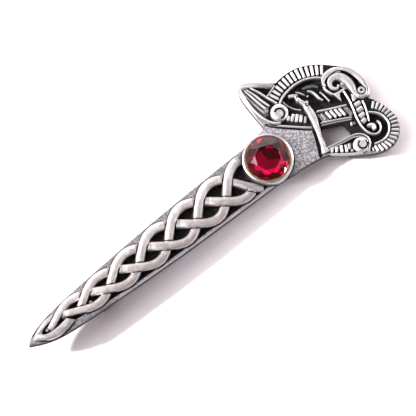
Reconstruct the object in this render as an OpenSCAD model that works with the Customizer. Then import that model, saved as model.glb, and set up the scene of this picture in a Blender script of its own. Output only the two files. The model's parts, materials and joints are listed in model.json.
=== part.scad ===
// Cast pewter kilt pin: a dirk-shaped blade with a three-strand plait, a red stone in a
// rim setting, a pierced beast head in the old interlace style, and a bar pin on its back.
//
// The pieces are drawn on the back plane of the casting, with the tip at the origin, the
// blade along +X and the front facing +Z. They are then laid down as the object rests.

/* [Overall] */
// Length of the blade, from its tip to the middle of the stone
blade_len = 66.8; // [50:0.1:90]
// Width of the blade beside the setting
blade_w = 10.8; // [9:0.1:14]
// Length of the head, from the neck to its far edge
head_len = 24.1; // [18:0.1:32]
// Width of the head, from the wing's tip to the lower curl
head_w = 31.8; // [24:0.1:42]

/* [Relief] */
// Thickness at the bottom of the sunk parts
floor_t = 0.8; // [0.5:0.1:1.4]
// Thickness of the plain border and neck
plate_t = 1.9; // [1.5:0.1:2.2]
// Height of a ribbon that passes under another
under_t = 2.2; // [2:0.05:3]
// Height of a ribbon that passes over another
over_t = 2.8; // [2.4:0.05:3.6]
// Height of the lowest band of the head
band_t = 2.25; // [2:0.05:3]
// Step in height between strands of the head that cross
step_t = 0.14; // [0.08:0.01:0.25]
// Depth of the grooves in the coils and round the eye
groove_t = 0.5; // [0.3:0.05:0.8]

/* [Plait] */
// Width of a plaited ribbon
ribbon_w = 1.75; // [1.2:0.05:2.2]
// Plain border outside the plait
border_w = 0.45; // [0.3:0.05:1]
// Number of upper bends between the setting and the tip
bends = 7; // [5:1:9]
// Space left where a ribbon goes under another
tuck_gap = 0.3; // [0.2:0.05:0.5]

/* [Stone and setting] */
// Diameter of the stone
stone_d = 10.1; // [8:0.1:12.5]
// Height of the stone from its flat culet to its table
stone_h = 3.7; // [3:0.1:5]
// Height of the stone's crown above its girdle
crown_t = 1.1; // [0.8:0.05:1.3]
// Space between the stone and its seat
stone_clear = 0.06; // [0.03:0.01:0.15]
// Wall of the setting's rim
rim_wall = 0.6; // [0.4:0.05:1]
// Height of the rim above the stone's girdle
rim_over = 0.2; // [0.1:0.05:0.4]
// Metal left under the stone
seat_t = 0.7; // [0.5:0.1:1.2]

/* [Bar pin] */
// Place of the catch, measured from the tip
catch_x = 18.5; // [12:0.5:30]
// Length of the catch
catch_len = 3; // [2:0.1:5]
// Depth of the catch's foot behind the casting
catch_drop = 5.8; // [4.5:0.1:8]
// Length of the bar pin from its catch to its hinge
pin_span = 48.5; // [35:0.5:60]
// Depth of the hinge's feet behind the casting
hinge_drop = 3.6; // [3.4:0.1:4.4]
// Length of the hinge's ears
hinge_len = 4.4; // [3.2:0.1:6]
// Diameter of the barrel between the ears
barrel_d = 2.2; // [1.6:0.1:2.6]
// Width of the bar pin's strip
strip_w = 6; // [4.5:0.1:6.5]
// Thickness of the strip and of the catch's walls
strip_t = 0.8; // [0.6:0.05:0.95]
// Diameter of the pointed stem
stem_d = 1.1; // [0.8:0.05:1.3]
// Space between the stem and the catch's hook
stem_clear = 0.2; // [0.1:0.05:0.4]
// Outer radius of the catch's bends
bend_r = 1.1; // [1:0.1:1.5]
// Thickness of the adhesive between the strip and the casting
glue_gap = 0.1; // [0.05:0.01:0.2]

/* [Hidden] */
eps = 0.01;
curve_steps = 4;
round_fn = 96;

// The drawing grids: one square is a share of the sizes that the drawing follows
blade_grid = [66.8, 10.8];
head_grid = [24.1, 31.8];

// The setting, the end of the plait beside it and the start of the head beyond it
setting_r = stone_d / 2 + stone_clear + rim_wall;
neck_x = blade_len + setting_r - 1.5;
field_end = blade_len - stone_d / 3;

// Outline of the blade: distance from the tip, half of its width
blade_edge = [
    [0, 0.12], [0.5, 0.5], [1.2, 0.98], [2.2, 1.42], [4, 2.0], [7, 2.65], [11, 3.15],
    [16, 3.55], [22, 3.92], [30, 4.4], [40, 4.85], [50, 5.1], [60, 5.35], [66.8, 5.6],
];

// Strands that make the leaf at the tip: along, across, width as a share of a ribbon's
tip_upper = [[1.5, 0.1, 0.4], [2.6, 0.6, 0.63], [3.7, 1.05, 0.7], [5, 1.4, 0.75], [6.6, 1.5, 0.8]];
tip_lower = [[1.5, 0, 0.4], [2.6, -0.55, 0.63], [3.8, -1.1, 0.75], [5.4, -1.45, 0.85], [7.5, -1.6, 1]];
plait_start = 3.2 * blade_len / blade_grid[0];
weave_start = 5.8 * blade_len / blade_grid[0];

// Edge of the neck, wing and head, clockwise from the setting, in runs that meet in corners
neck_top = [[-6, 5.5], [-4, 5.85], [-1.6, 6.0], [-0.25, 6.3]];
wing_left = [[-0.25, 6.3], [-0.25, 9], [-0.2, 13], [0.2, 15.5], [0.8, 16.9], [1.3, 17.4]];
wing_right = [[1.3, 17.4], [2.7, 16.9], [4.5, 15.8], [6.4, 14.2], [8.2, 12.75]];
crest = [
    [8.2, 12.75], [10, 12.85], [12, 12.75], [14, 12.3], [16, 11.4], [18, 10.0],
    [19.7, 8.4], [21.2, 7.0], [22.4, 5.6], [23.3, 3.9], [23.7, 2.0], [23.7, 0.3],
    [23.4, -1.0], [22.8, -2.1], [22.1, -2.8],
];
coil_edge = [
    [22.1, -2.8], [22.9, -4.4], [23.7, -6.4], [24.1, -8.8], [23.9, -10.6], [23.1, -12.2],
    [21.8, -13.5], [20.2, -14.2], [18.5, -14.4], [16.8, -14.1], [15, -13.3], [13, -12.1],
    [11, -10.8], [9, -9.0], [7.4, -7.6], [5.8, -6.9], [3, -6.4], [-1, -6.0], [-6, -5.5],
];

// Openings and sunk fields of the head
window = [[9.5, -1.9], [14.0, -4.0], [14.0, -6.9], [11.5, -6.5], [8.2, -5.8], [8.3, -4.0]];
wing_gap = [[3.3, 15.0], [6.4, 12.4], [5.1, 11.7], [4.4, 13.0]];
sunk_head = [
    [8.3, 11.4], [12, 11.5], [15, 10.6], [17.5, 8.8], [20, 6.8], [21.6, 4.6], [22, 2],
    [21.8, -0.6], [20.6, -3.2], [22.2, -6], [22.8, -8.8], [22, -11.2], [20, -12.6],
    [17, -12.6], [14.4, -11.6], [12, -10], [9.6, -7.8], [7.9, -6.5], [8.6, -2], [8.2, 0.4],
    [5.4, 2.6], [3.2, 4.6], [5.8, 8.4],
];

// Strands of the head: along, across, width
big_arc = [
    [4.4, 9.4, 2.2], [6.2, 10.1, 2.6], [8.4, 10.9, 3.0], [11, 11.1, 3.1], [13.6, 10.7, 3.1],
    [15.8, 9.6, 3.0], [17.6, 8.2, 2.6], [18.6, 7.2, 2.0],
];
wing_rim = [
    [1.0, 16.2, 0.5], [0.5, 13, 0.6], [0.6, 10, 0.6], [1.2, 7.6, 0.65], [2.3, 5.9, 0.7],
    [3.4, 5.1, 0.7],
];
wing_ribs = [
    [[1.2, 15.2, 0.35], [1.4, 12, 0.4], [2.0, 9.4, 0.4]],
    [[1.6, 15.2, 0.35], [2.3, 12, 0.45], [3.1, 9.5, 0.45]],
    [[2.2, 15.0, 0.35], [3.3, 12.2, 0.45], [4.3, 9.6, 0.45]],
];
limb = [
    [8.8, 8.0, 0.8], [9.6, 6.8, 1.0], [9.9, 5.4, 1.3], [10.0, 3.8, 1.5], [9.8, 2.0, 1.4],
    [9.2, 0.2, 1.35], [8.4, -2.0, 1.3], [7.7, -4.0, 1.4], [6.9, -5.8, 1.9], [6.5, -6.7, 2.2],
];
band_rim = [[2.3, 5.0, 0.4], [4.2, 3.4, 0.45], [6.0, 1.8, 0.45], [7.9, 0.2, 0.45]];
left_band = [[4.6, 5.2, 1.6], [6.0, 4.0, 2.0], [7.4, 2.8, 2.2], [8.8, 1.8, 2.2]];
right_band = [[10.2, 0.6, 3.0], [13, -0.9, 3.1], [16, -2.3, 2.9], [17.4, -2.9, 2.4]];
lower_band = [[7.6, -6.8, 1.3], [9.8, -7.8, 1.9], [12, -9.0, 2.8], [13.4, -9.9, 3.2]];
brow = [
    [15.9, 4.6, 0.7], [16.4, 6.3, 0.8], [17.8, 7.3, 0.9], [19.6, 7.2, 1.0], [21.2, 6.0, 1.1],
    [22.4, 4.4, 1.2], [23.0, 2.4, 1.2], [23.1, 0.4, 1.1], [22.6, -1.3, 1.0], [21.8, -2.1, 0.9],
];
cheek = [
    [16.6, 0.6, 0.5], [16.0, 2.8, 0.9], [16.2, 4.6, 1.3], [17.4, 5.7, 1.6], [18.9, 5.7, 1.7],
    [20.3, 4.6, 1.8], [20.8, 2.8, 1.8], [20.6, 1.0, 1.5], [20.4, -0.8, 1.0],
];
neck_strand = [
    [19.3, 1.6, 1.2], [19.2, 0, 1.7], [19.0, -2, 2.5], [18.55, -4, 2.6],
    [17.95, -6, 2.4], [17.6, -7.6, 2.2], [18.2, -9.0, 1.9],
];
coil = [
    [20.3, -3.9, 2.0], [21.9, -5.6, 2.4], [22.6, -7.6, 2.5], [22.7, -9.4, 2.5],
    [21.9, -11.3, 2.5], [20.5, -12.6, 2.5], [18.7, -13.0, 2.3], [17.0, -12.7, 2.2],
    [15.2, -12.2, 2.2],
];

// The head's strands from the lowest to the highest, each with its level
head_rows = [
    [left_band, 0], [right_band, 1], [lower_band, 1], [band_rim, 2], [big_arc, 2], [coil, 2],
    [neck_strand, 3], [wing_rim, 4], [limb, 5], [brow, 5], [cheek, 6],
];
rib_level = 1;
top_level = 8;

// Round bosses of the head: along, across, radius; then their level and their groove's depth
// in from the edge at its outer and inner wall
wing_spiral = [4.1, 6.75, 2.1];
eye = [21.65, -0.6, 1.5];
strand_curl = [18.35, -8.5, 1.9];
lower_curl = [14.3, -9.9, 2.0];
boss_rows = [
    [wing_spiral, 6, 0.75, 1.15], [eye, 6, 0.4, 0.75], [strand_curl, 4, 0.5, 0.95],
    [lower_curl, 5, 0.5, 0.95],
];

// Facets of the stone: how many, their slope, where their plane meets the girdle's level as
// a share of the radius, and their turn as a share of the space between them
girdle_t = 0.3;
crown_cuts = [[8, 27, 1, 0], [8, 17, 1.24, 0.5], [16, 34, 1, 0.5]];
back_sides = 8;
back_slope = 41;
back_cuts = [[back_sides, back_slope, 1, 0]];
girdle_z = seat_t + stone_h - crown_t;

// The stone's back: where its corners leave the round girdle, and how far out they end
back_turn = cos(180 / back_sides);
back_z = girdle_z - girdle_t - stone_d / 2 * (1 - back_turn) * tan(back_slope);
culet_r = (stone_d / 2 - (girdle_z - girdle_t - seat_t) / tan(back_slope)) / back_turn;

// Levels of the bar pin behind the casting
strip_bottom = -glue_gap - strip_t;
stem_catch_z = strip_t + stem_clear + stem_d / 2 - catch_drop;
barrel_z = stem_clear + barrel_d / 2 - hinge_drop;
lip_top = stem_catch_z + stem_d / 4;

// The lying pose: the feet of the catch and of the hinge are both flat on the floor
hinge_x = catch_x + pin_span;
hinge_foot_x = hinge_x - hinge_len / 2 + bend_r;
lie_angle = atan((catch_drop - hinge_drop) / (hinge_foot_x - catch_x));

function lerp(a, b, t) = a + (b - a) * t;

// A smooth curve through points, with curve_steps pieces from each point to the next
function knot_at(p, i) = p[max(0, min(len(p) - 1, i))];
function blend_point(a, b, c, d, t) =
    0.5 * (2 * b + (c - a) * t + (2 * a - 5 * b + 4 * c - d) * t ^ 2
        + (3 * b - a - 3 * c + d) * t ^ 3);
function smooth(p) = [
    for (i = [0 : len(p) - 2])
        for (s = [0 : curve_steps - 1])
            blend_point(knot_at(p, i - 1), p[i], p[i + 1], knot_at(p, i + 2), s / curve_steps),
    p[len(p) - 1],
];

// The two sides of a strand whose points hold its width
function heading(p, i) =
    let (d = knot_at(p, i + 1) - knot_at(p, i - 1), n = norm([d[0], d[1]]))
    [d[0], d[1]] / n;
function side(p, i, s) =
    let (h = heading(p, i))
    [p[i][0] - s * h[1] * p[i][2] / 2, p[i][1] + s * h[0] * p[i][2] / 2];
function strand_outline(p) = concat(
    [for (i = [0 : len(p) - 1]) side(p, i, 1)],
    [for (i = [len(p) - 1 : -1 : 0]) side(p, i, -1)]
);

// Places on the head's drawing grid
function head_point(p) = [
    neck_x + p[0] * head_len / head_grid[0],
    p[1] * head_w / head_grid[1],
];
function head_points(list) = [for (p = list) head_point(p)];
function head_strand(p) = [
    for (q = smooth(p)) [head_point(q)[0], head_point(q)[1], q[2] * head_len / head_grid[0]]
];
function level(n) = band_t + n * step_t;

// Places on the blade's drawing grid
function blade_point(p) = [p[0] * blade_len / blade_grid[0], p[1] * blade_w / blade_grid[1]];
function tip_strand(p) = [
    for (q = smooth(p)) [blade_point(q)[0], blade_point(q)[1], q[2] * ribbon_w]
];
blade_curve = smooth([for (p = blade_edge) blade_point(p)]);
function half_width(x) = lookup(x, blade_curve);
function mirrored(p) = [for (i = [len(p) - 1 : -1 : 0]) [p[i][0], -p[i][1]]];

head_outline = head_points(concat(
    smooth(neck_top), smooth(wing_left), smooth(wing_right), smooth(crest), smooth(coil_edge)));

// The plait: its bends are evenly spaced, and each strand repeats every three bends. The
// last bend lies a share of a space from the tip.
tip_share = 0.58;
last_bend = blade_len - setting_r + rim_wall / 2;
bend_step = last_bend / (bends + tip_share);
tuck = ribbon_w / sqrt(2) + tuck_gap;
run_steps = 12;
function plait_y(x, top) =
    max(tuck_gap, half_width(x) - border_w - ribbon_w / 2) * cos(120 * (x - top) / bend_step);
function plait_run(from, to, top, w, steps) = [
    for (i = [0 : steps]) let (x = lerp(from, to, i / steps)) [x, plait_y(x, top), w]
];

// The object's box when it lies on its feet, which the origin is centred under
far_x = max([for (p = head_outline) p[0]]);
mid_y = (max([for (p = head_outline) p[1]]) + min([for (p = head_outline) p[1]])) / 2;
low_x = catch_drop * sin(lie_angle) - catch_x * cos(lie_angle);
high_x = (catch_drop + plate_t) * sin(lie_angle) + (far_x - catch_x) * cos(lie_angle);

module prism(points, low, high) {
    translate([0, 0, low])
        linear_extrude(high - low)
            polygon(points);
}

module strand(p, high, sink = eps) {
    prism(strand_outline(p), floor_t - sink, high);
}

module boss(place, low, high, shrink = 0) {
    translate([head_point(place)[0], head_point(place)[1], low])
        cylinder(h = high - low, r = place[2] * head_len / head_grid[0] - shrink, $fn = round_fn);
}

module ring_groove(row) {
    bottom = level(row[1]) - groove_t;
    difference() {
        boss(row[0], bottom, level(top_level), row[2]);
        boss(row[0], bottom - eps, level(top_level) + eps, row[3]);
    }
}

module blade_plate() {
    prism(concat(blade_curve, mirrored(blade_curve)), 0, plate_t);
}

module plait_field() {
    upper = [
        for (p = blade_curve)
            if (p[1] > 3 * border_w && p[0] < field_end) [p[0], p[1] - border_w]
    ];
    prism(concat([[plait_start, 0]], upper, mirrored(upper)), floor_t, plate_t + eps);
}

module plait() {
    for (n = [0 : bends]) {
        top = last_bend - n * bend_step;
        rise_from = max(weave_start, top - bend_step) + tuck;
        rise_to = min(top + bend_step / 2 - tuck, field_end);
        if (top - bend_step / 2 > plait_start)
            strand(plait_run(rise_from, rise_to, top, ribbon_w, run_steps), over_t);
        fall_from = top + bend_step / 2 + tuck;
        fall_to = min(top + 2 * bend_step - tuck, field_end);
        if (fall_to - fall_from > tuck)
            strand(plait_run(fall_from, fall_to, top, ribbon_w, run_steps), over_t);
    }
    for (n = [0 : 2])
        strand(
            plait_run(weave_start, field_end, last_bend - n * bend_step,
                ribbon_w - tuck_gap / 2, run_steps * 5),
            under_t, 2 * eps);
    strand(tip_strand(tip_upper), over_t - 2 * step_t);
    strand(tip_strand(tip_lower), over_t - step_t);
}

module head_plate() {
    difference() {
        prism(head_outline, 0, plate_t);
        prism(head_points(smooth(concat(sunk_head, [sunk_head[0]]))), floor_t, plate_t + eps);
        prism(head_points(wing_gap), floor_t, plate_t + eps);
    }
}

module head_relief() {
    difference() {
        union() {
            for (row = head_rows)
                strand(head_strand(row[0]), level(row[1]));
            for (rib = wing_ribs)
                strand(head_strand(rib), level(rib_level));
            for (row = boss_rows)
                boss(row[0], floor_t - eps, level(row[1]));
        }
        for (row = boss_rows)
            ring_groove(row);
    }
}

// The stone's seat: a straight wall at the girdle over a cone that follows the stone's back
module seat() {
    r = stone_d / 2 + stone_clear;
    wall_z = back_z - stone_clear;
    foot_z = seat_t - stone_clear;
    translate([blade_len, 0, wall_z])
        cylinder(h = stone_h, r = r, $fn = round_fn);
    translate([blade_len, 0, foot_z])
        cylinder(h = wall_z - foot_z + eps, r1 = max(culet_r, 0) + 2 * stone_clear, r2 = r,
            $fn = round_fn);
}

module setting_boss() {
    translate([blade_len, 0, 0])
        cylinder(h = girdle_z + rim_over, r = setting_r, $fn = round_fn);
}

module casting_solid() {
    difference() {
        union() {
            difference() {
                blade_plate();
                plait_field();
            }
            plait();
            head_plate();
            head_relief();
            setting_boss();
        }
        seat();
        prism(head_points(window), -plate_t, level(top_level));
    }
}

// Takes away what lies outside a ring of facets, on the upper or the lower side
module facet_cut(cut, up) {
    big = stone_d;
    for (i = [0 : cut[0] - 1])
        rotate([0, 0, (i + cut[3]) * 360 / cut[0]])
            translate([stone_d / 2 * cut[2], 0, 0])
                rotate([0, up * (cut[1] - 90), 0])
                    translate([0, -big, -big])
                        cube([big, 2 * big, 2 * big]);
}

module stone_solid() {
    difference() {
        translate([0, 0, seat_t])
            cylinder(h = stone_h, r = stone_d / 2, $fn = round_fn);
        translate([0, 0, girdle_z])
            for (cut = crown_cuts)
                facet_cut(cut, 1);
        translate([0, 0, girdle_z - girdle_t])
            for (cut = back_cuts)
                facet_cut(cut, -1);
    }
}

module strip() {
    length = hinge_x + hinge_len / 2 - catch_x;
    translate([catch_x, -strip_w / 2, strip_bottom])
        cube([length, strip_w, strip_t]);
    for (x = [catch_x, catch_x + length])
        translate([x, 0, strip_bottom])
            cylinder(h = strip_t, d = strip_w, $fn = round_fn);
}

// A plate outline that reaches up from its foot, with round corners at the foot
module tab_outline(left, right, foot, top, r) {
    translate([left, foot + r])
        square([right - left, top - foot - r]);
    translate([left + r, foot])
        square([right - left - 2 * r, r + eps]);
    for (x = [left + r, right - r])
        translate([x, foot + r])
            circle(r = r, $fn = round_fn);
}

module catch_section() {
    left = -strip_w / 2;
    right = stem_d / 2 + stem_clear + strip_t;
    difference() {
        tab_outline(left, right, -catch_drop, strip_bottom + eps, bend_r);
        tab_outline(left + strip_t, right - strip_t, strip_t - catch_drop, strip_bottom + 2 * eps,
            bend_r - strip_t);
        translate([left + strip_t, lip_top])
            square([right - left, catch_drop]);
    }
}

module catch_hook() {
    translate([catch_x, 0, 0])
        rotate([90, 0, 90])
            linear_extrude(catch_len)
                catch_section();
}

module hinge() {
    for (y = [strip_t - strip_w / 2, strip_w / 2])
        translate([hinge_x, y, 0])
            rotate([90, 0, 0])
                linear_extrude(strip_t)
                    tab_outline(-hinge_len / 2, hinge_len / 2, -hinge_drop, strip_bottom + eps, bend_r);
    translate([hinge_x, strip_t / 2 - strip_w / 2, barrel_z])
        rotate([-90, 0, 0])
            cylinder(h = strip_w - strip_t, d = barrel_d, $fn = round_fn);
}

// The stem runs from the barrel through the hook, and its point stands out past the catch
module stem() {
    run = [hinge_x - catch_x, barrel_z - stem_catch_z];
    translate([hinge_x, 0, barrel_z])
        rotate([0, -90 - atan2(run[1], run[0]), 0]) {
            cylinder(h = norm(run), d = stem_d, $fn = round_fn);
            translate([0, 0, norm(run) - eps])
                cylinder(h = catch_len, d1 = stem_d, d2 = stem_d / 4, $fn = round_fn);
        }
}

// What lies below the floor when the object rests
module below_floor() {
    translate([catch_x, 0, -catch_drop])
        rotate([0, -lie_angle, 0])
            translate([-blade_len, -strip_w, -strip_w])
                cube([3 * blade_len, 2 * strip_w, strip_w]);
}

module bar_pin_solid() {
    difference() {
        union() {
            strip();
            catch_hook();
            hinge();
            stem();
        }
        below_floor();
    }
}

module at_rest() {
    translate([-(low_x + high_x) / 2, -mid_y, 0])
        rotate([0, lie_angle, 0])
            translate([-catch_x, 0, catch_drop])
                children();
}

module casting() {
    color("silver")
        at_rest()
            casting_solid();
}

module stone() {
    color("crimson")
        at_rest()
            translate([blade_len, 0, 0])
                stone_solid();
}

module bar_pin() {
    color("gainsboro")
        at_rest()
            bar_pin_solid();
}

casting();
stone();
bar_pin();
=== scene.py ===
# The looks of a cast pewter kilt pin: a dirk-shaped blade with a sunk three-strand plait, a red
# stone in a rim setting and a pierced beast head drawn in interlaced strands.
#
# All drawing is in millimetres on the casting's back plane: the tip is at the origin, the blade
# runs along +X, the wing is on the +Y side and +Z is the height above the back.
import json
import math

import bmesh
import bpy
from mathutils import Matrix, Vector

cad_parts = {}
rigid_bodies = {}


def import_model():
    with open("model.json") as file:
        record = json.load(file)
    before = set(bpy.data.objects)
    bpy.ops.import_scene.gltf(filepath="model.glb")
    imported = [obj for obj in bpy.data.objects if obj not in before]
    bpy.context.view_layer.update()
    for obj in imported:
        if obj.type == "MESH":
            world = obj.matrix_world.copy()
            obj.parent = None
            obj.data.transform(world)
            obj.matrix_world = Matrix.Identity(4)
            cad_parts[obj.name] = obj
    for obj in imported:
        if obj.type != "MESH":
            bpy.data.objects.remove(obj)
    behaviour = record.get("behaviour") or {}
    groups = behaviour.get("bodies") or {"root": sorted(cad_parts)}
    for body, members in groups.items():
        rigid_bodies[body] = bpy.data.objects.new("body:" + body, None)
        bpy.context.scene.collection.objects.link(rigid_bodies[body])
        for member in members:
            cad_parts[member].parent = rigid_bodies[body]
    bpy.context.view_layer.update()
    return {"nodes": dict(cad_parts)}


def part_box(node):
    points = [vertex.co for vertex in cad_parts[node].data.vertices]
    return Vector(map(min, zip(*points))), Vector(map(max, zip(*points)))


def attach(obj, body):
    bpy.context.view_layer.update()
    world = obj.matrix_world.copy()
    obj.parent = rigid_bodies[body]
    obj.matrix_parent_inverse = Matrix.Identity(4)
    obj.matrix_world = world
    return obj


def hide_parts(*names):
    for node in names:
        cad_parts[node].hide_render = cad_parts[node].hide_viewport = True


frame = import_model()

# The lying pose: the catch is deeper than the hinge, so the blade is pitched
MM = 0.001
CATCH_X = 18.5
CATCH_DROP = 5.8
HINGE_DROP = 3.6
FEET_APART = 47.4
PITCH = math.atan2(CATCH_DROP - HINGE_DROP, FEET_APART)
MID_Y = 1.5
TIP_PLACE = Vector((
    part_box("casting")[0][0] / MM,
    -MID_Y,
    CATCH_DROP * math.cos(PITCH) + CATCH_X * math.sin(PITCH),
))
BODY_TO_REST = Matrix.Scale(MM, 4) @ Matrix.Translation(TIP_PLACE) @ Matrix.Rotation(PITCH, 4, "Y")

# Heights above the back
DEEP = 0.8
SHALLOW = 1.45
PLATE = 1.9
FOOT = 0.4
SKY = 6.0

# Stone and setting
STONE_AT = Vector((66.8, 0.0))
STONE_R = 5.05
STONE_H = 3.7
SEAT_T = 0.7
CROWN_T = 1.1
GIRDLE_T = 0.3
GIRDLE_TOP = SEAT_T + STONE_H - CROWN_T
STONE_CLEAR = 0.06
SEAT_R = STONE_R + STONE_CLEAR
# Rings of facets: how many, slope in degrees, share of the radius, turn by a share of a step, up or
# down, and how far below the girdle's upper edge they start
STONE_FACETS = [
    (8, 27, 1, 0, 1, 0),
    (8, 17, 1.24, 0.5, 1, 0),
    (16, 34, 1, 0.5, 1, 0),
    (32, 52, 1, 0.5, 1, 0.12),
    (16, 43, 1, 0.5, -1, 0),
    (8, 36, 1.05, 0.5, -1, 0),
    (5, 30, 1.3, 0.2, -1, 0),
    (3, 4, 6.0, 0.25, -1, 0),
]
# The seat is a cone round the corners of the CAD stone's back, which has this many sides and slope
SEAT_SIDES = 8
SEAT_SLOPE = math.tan(math.radians(41))
# A face of the stone is bare glass above the first height of its normal and foil below the second
GLASS_ABOVE = math.cos(math.radians(45))
FOIL_BELOW = -0.1
RIM_R = 5.71
RIM_TOP = 3.5
# The rim's rounded top: how far in and how far down each point is
RIM_ROUND = [(0, 0.35), (0.08, 0.14), (0.24, 0.02), (0.4, 0), (0.53, 0.08)]
RIM_LIP = 0.2
RIM_GAP = 0.25
RIM_GROOVE = 0.2

# Steps round turned shapes and curls
ROUND_STEPS = 96
BOSS_STEPS = 48
PUPIL_STEPS = 24
CURL_STEPS = 24

# A boss's dome: how far in its shoulder leans and how wide its flat top is, as shares
DOME_LEAN = 0.35
DOME_FLAT = 0.3

# A strand's end: how long it is, and how much narrower and lower than the strand
END_LEAD = 0.14
BAR_END_LEAD = 0.12
END_SHARE = 0.6
END_DROP = 0.22

# Edges, the angles past which they are sharp, and how close counts as the same place
PLATE_EDGE = 0.16
PIN_EDGE = 0.08
PIN_SHARP = math.radians(35)
PIN_FLAT = math.radians(1)
SHADE_SHARP = math.radians(32)
SAME = 1e-6
WELD = 1e-3

# The blade's sunk field and its borders
FIELD_START = 3.3
FIELD_STEP = 0.8
FIELD_STEPS = 75
UPPER_BORDER = 1.85
UPPER_BORDER_SHARE = 0.42
LOWER_BORDER = 0.68
TIP_BORDER = 0.8
TIP_BORDER_END = 18
TIP_LIFT = 0.36
TIP_LIFT_REACH = 4
EDGE_RIM_W = 0.28
EDGE_RIM_IN = 0.17
EDGE_RIM_TOP = 2.0
EDGE_RIM_XS = range(22, 65, 2)

# The plait of three ribbons: bends of one ribbon are three steps apart, which is 360 degrees
BEND_STEP = 8.1
LAST_BEND = 61.4
BENDS = 8
STEP_PHASE = 120
CROSS_PHASE = 60
BORDER = 0.55
PLAIT_END = 63.4
LAST_RISE_END = 62.1
PASS_GAP = 10.0
END_PHASE = STEP_PHASE * (LAST_RISE_END - LAST_BEND) / BEND_STEP
LAST_TURN_END = 211
RIBBON_W = 2.15
RIBBON_TAPER = 0.75
RIBBON_TOP = 2.85
DIP = 0.12
DIP_PHASE = 24.0
END_PHASES = 10.0
END_OVERLAP = 2
END_INSET = 0.015
UNDER_TOP = 1.5
BEND_LINE_W = 0.36
BEND_LINE_Z = 1.35
CROSS_LINE_W = 0.24
CROSS_LINE_Z = 2.2
MIDDLE_Y = 0.1
MIDDLE_LIFT = 0.18
LEAN = 0.45
DRIFT = 0.17
# The last falling run: x, y, width and top
LAST_FALL = [
    (56.7, 2.1, 1.9, 2.6), (57.9, 0.5, 1.9, 2.7), (59.15, -1.2, 1.85, 2.75),
    (60.4, -2.75, 1.9, 2.65), (61.4, -3.9, 1.8, 2.3), (62.1, -4.6, 1.3, 1.9),
]
FLOOR_LUMPS = [(5.1, 0.3), (12, 0.6), (16.5, -0.7)]
FORK_OUTSIDE = [
    (8.1, 2.15), (7, 2.3), (5.6, 2.15), (4.2, 1.75), (3.2, 1.36), (2.4, 0.95), (1.7, 0.5),
    (1.3, 0.1), (1.5, -0.15), (2.3, -0.62), (3.3, -1.27), (4.4, -1.92), (5.6, -2.32), (7, -2.5),
    (8.8, -2.45), (10.3, -2.2), (11.3, -1.85),
]
FORK_INSIDE = [
    (10.0, -0.35), (8.6, -0.6), (7.0, -0.72), (5.4, -0.68), (4.3, -0.42), (3.75, -0.05),
    (3.72, 0.32), (4.4, 0.72), (5.6, 1.1), (7.2, 1.32), (8.4, 1.45),
]

# Middles in the head
SPIRAL_AT = (75.45, 6.75)
EYE_AT = (92.67, -0.53)

# Camera: the photograph's scale, its tip's place and its angles on the back plane
PICTURE_PX = 416
MM_PER_PX = 0.2189
TIP_PX = (30.0, 344.5)
CAMERA_TURN = math.radians(38.76)
CAMERA_HEIGHT = math.radians(75)
CAMERA_LENS = 1000
CAMERA_SENSOR = 36
DRAWN_LEVEL = 2.2

# Directions: away from the camera along the floor, and up
FAR = Vector((math.sin(CAMERA_TURN), math.cos(CAMERA_TURN), 0))
UP = Vector((0, 0, 1))

# Material slots of the casting and of the stone
GROUND, RECESS, RAISED, PLAIT, DIMMED = range(5)
GLASS, FOIL, GIRDLE = range(3)

# The grey of the ground's specks
SPECK_GREY = (0.18, 0.17, 0.185)

# How far the patina's edge wanders up and down
BLOTCH = 0.35


# Curves

def smooth(points, pieces=4):
    """A smooth curve through points of any number of parts."""
    made = []
    for i in range(len(points) - 1):
        a, b, c, d = (points[min(max(k, 0), len(points) - 1)] for k in range(i - 1, i + 3))
        for s in range(pieces):
            t = s / pieces
            made.append(tuple(
                0.5 * (2 * q + (r - p) * t + (2 * p - 5 * q + 4 * r - u) * t * t
                       + (3 * q - p - 3 * r + u) * t ** 3)
                for p, q, r, u in zip(a, b, c, d)
            ))
    return made + [tuple(points[-1])]


def closed(points, pieces):
    """A smooth outline through points, the last of which is the first again."""
    return smooth(points, pieces)[:-1]


def arc(centre, first, last, start, stop):
    """Points on an arc between two angles, whose radius changes evenly from first to last."""
    made = []
    for i in range(CURL_STEPS + 1):
        t = i / CURL_STEPS
        turn = math.radians(start + (stop - start) * t)
        r = first + (last - first) * t
        made.append((centre[0] + r * math.cos(turn), centre[1] + r * math.sin(turn)))
    return made


def at_share(curve, share):
    """The point at a share of a curve's length."""
    lengths = [math.dist(a, b) for a, b in zip(curve, curve[1:])]
    left = share * sum(lengths)
    for a, b, size in zip(curve, curve[1:], lengths):
        if left <= size:
            return Vector(a).lerp(Vector(b), left / size)
        left -= size
    return Vector(curve[-1])


# Outline of the casting
BLADE_EDGE = smooth([
    (0, 0.14), (0.5, 0.55), (1.2, 1.05), (2.2, 1.5), (4, 2.1), (7, 2.77), (11, 3.27),
    (16, 3.67), (22, 4.04), (30, 4.52), (40, 4.97), (50, 5.22), (60, 5.45),
])
NECK_TOP = smooth([(65, 5.5), (67, 5.85), (69.4, 6.0), (70.75, 6.3)])
WING_LEFT = smooth([(70.75, 6.3), (70.75, 9), (70.8, 13), (71.2, 15.5), (71.8, 16.9), (72.3, 17.4)])
WING_RIGHT = smooth([(72.3, 17.4), (73.7, 16.9), (75.5, 15.8), (77.4, 14.2), (79.2, 12.75)])
CREST = smooth([
    (79.2, 12.75), (81, 12.95), (83, 12.9), (85, 12.5), (87.1, 11.6), (89.2, 10.2), (90.9, 8.65),
    (92.35, 7.15), (93.5, 5.7), (94.35, 4), (94.75, 2), (94.75, 0.3), (94.4, -1), (93.8, -2.1),
    (93.1, -2.8),
])
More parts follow.
